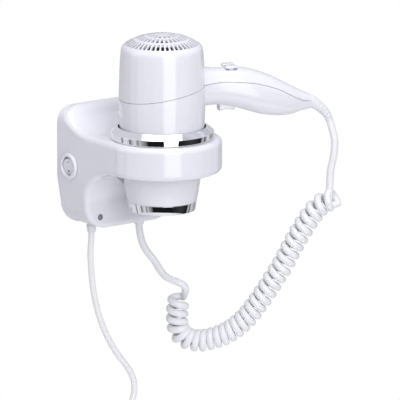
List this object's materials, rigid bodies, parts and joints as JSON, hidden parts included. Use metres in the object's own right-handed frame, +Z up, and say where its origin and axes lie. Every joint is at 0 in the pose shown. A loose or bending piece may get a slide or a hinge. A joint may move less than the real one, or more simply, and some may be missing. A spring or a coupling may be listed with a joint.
{
  "type": "wall hair dryer",
  "caption": "Wall-mounted hair dryer: a wall base with a round cup, a handset stored nose down in it, a curly cord and a mains cord with its plug.",
  "frame": {"origin": "centre of the wall plate's flat back face", "axes": "+Y out of the back face into the wall, +Z up, the front of the object faces -Y"},
  "size_m": [0.2187, 0.1509, 0.5555],
  "materials": {
    "white_gloss": "high gloss white ABS",
    "chrome_plate": "bright chrome on plastic",
    "cord_white": "satin white flexible PVC",
    "steel": "plain steel and heater wire",
    "brass": "bright brass",
    "black_plastic": "matt black moulding",
    "grey_plastic": "mid grey moulding",
    "circuit_board": "green solder resist",
    "mica": "pressed mica sheet",
    "lamp": "small neon lamp"
  },
  "bodies": {
    "root": {"wall_plate": "white_gloss", "base_cover": "white_gloss", "cover_screw": "steel", "cup_ring": "chrome_plate", "cup_liner": "white_gloss", "switch_bezel": "white_gloss", "switch_body": "black_plastic", "switch_tab_1": "brass", "switch_tab_2": "brass", "switch_tab_3": "brass", "pilot_lens": "grey_plastic", "pilot_lamp": "lamp", "base_board": "circuit_board", "board_post_1": "white_gloss", "board_post_2": "white_gloss", "board_post_3": "white_gloss", "terminal_block": "grey_plastic", "suppressor": "black_plastic", "mains_clamp": "grey_plastic", "curly_clamp": "grey_plastic", "mains_gland": "cord_white", "curly_gland": "cord_white", "curly_coil": "cord_white", "curly_lead": "cord_white", "mains_cord": "cord_white", "mains_coil": "cord_white", "coil_tie": "white_gloss", "mains_tail": "cord_white", "plug_relief": "cord_white", "plug_body": "cord_white", "plug_pin_1": "brass", "plug_pin_2": "brass"},
    "rocker": {"power_rocker": "white_gloss"},
    "handset": {"rear_housing": "white_gloss", "front_housing": "white_gloss", "nozzle_band": "chrome_plate", "outlet_grille": "grey_plastic", "intake_filter": "black_plastic", "motor_can": "steel", "motor_end_cap": "black_plastic", "motor_carrier": "black_plastic", "heater_sleeve": "mica", "heater_board_one": "mica", "heater_board_two": "mica", "heater_winding": "steel", "thermal_cutout": "steel", "heat_switch": "black_plastic", "speed_switch": "black_plastic", "handle_board": "circuit_board", "cool_switch": "black_plastic", "key_spring": "steel", "strain_relief": "cord_white", "handle_loom": "black_plastic", "curly_tail": "cord_white"},
    "heat_slider": {"heat_key": "white_gloss"},
    "speed_slider": {"speed_key": "white_gloss"},
    "cool_button": {"cool_key": "white_gloss"},
    "fan": {"fan_rotor": "black_plastic", "motor_shaft": "steel"}
  },
  "joints": [
    {"name": "handset_lift", "type": "slide", "parent": "root", "child": "handset", "axis": [0, 0, 1], "range_m": [0, 0.1]},
    {"name": "rocker_tilt", "type": "hinge", "parent": "root", "child": "rocker", "pos_m": [-0.053, -0.02, 0.001], "axis": [0, 1, 0], "range_deg": [0, 14]},
    {"name": "heat_slide", "type": "slide", "parent": "handset", "child": "heat_slider", "axis": [0.9397, -0.342, 0], "range_m": [-0.002, 0.002]},
    {"name": "speed_slide", "type": "slide", "parent": "handset", "child": "speed_slider", "axis": [0.9397, -0.342, 0], "range_m": [-0.002, 0.002]},
    {"name": "cool_press", "type": "slide", "parent": "handset", "child": "cool_button", "axis": [0, 0, 1], "range_m": [0, 0.0025], "stiffness_N_per_m": 300, "springref_m": -0.002, "deforming": ["key_spring"]},
    {"name": "fan_spin", "type": "hinge", "parent": "handset", "child": "fan", "pos_m": [0, -0.089, 0.0985], "axis": [0, 0, 1], "continuous": true}
  ]
}
